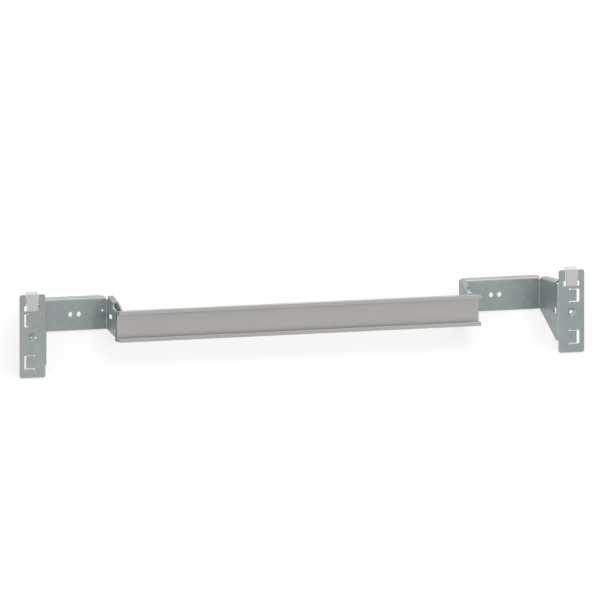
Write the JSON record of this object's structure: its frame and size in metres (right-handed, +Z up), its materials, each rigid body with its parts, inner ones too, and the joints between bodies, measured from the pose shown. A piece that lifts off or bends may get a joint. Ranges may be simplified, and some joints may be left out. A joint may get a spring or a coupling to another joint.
{
  "type": "din rail with end brackets",
  "caption": "Aluminium device mounting rail with hooked lips, carried between folded sheet steel end brackets that have flanged arms, spring clips and slotted front plates.",
  "frame": {"origin": "on the floor, at the middle of the whole object's outline", "axes": "+X along the rail to the right as seen from the front, +Y to the back, +Z up; the object leans back on the feet of its end plates and the lower edges of its arms"},
  "size_m": [0.6736, 0.105, 0.073],
  "materials": {
    "rail_aluminium": "extruded, mill finish, satin",
    "galvanised_sheet": "galvanised, semi-gloss, with bright folds",
    "plated_fixings": "zinc plated"
  },
  "bodies": {
    "root": {"din_rail": "rail_aluminium", "left_bracket": "galvanised_sheet", "right_bracket": "galvanised_sheet", "left_rail_screw": "plated_fixings", "right_rail_screw": "plated_fixings", "left_rail_nut": "plated_fixings", "right_rail_nut": "plated_fixings"}
  },
  "joints": []
}
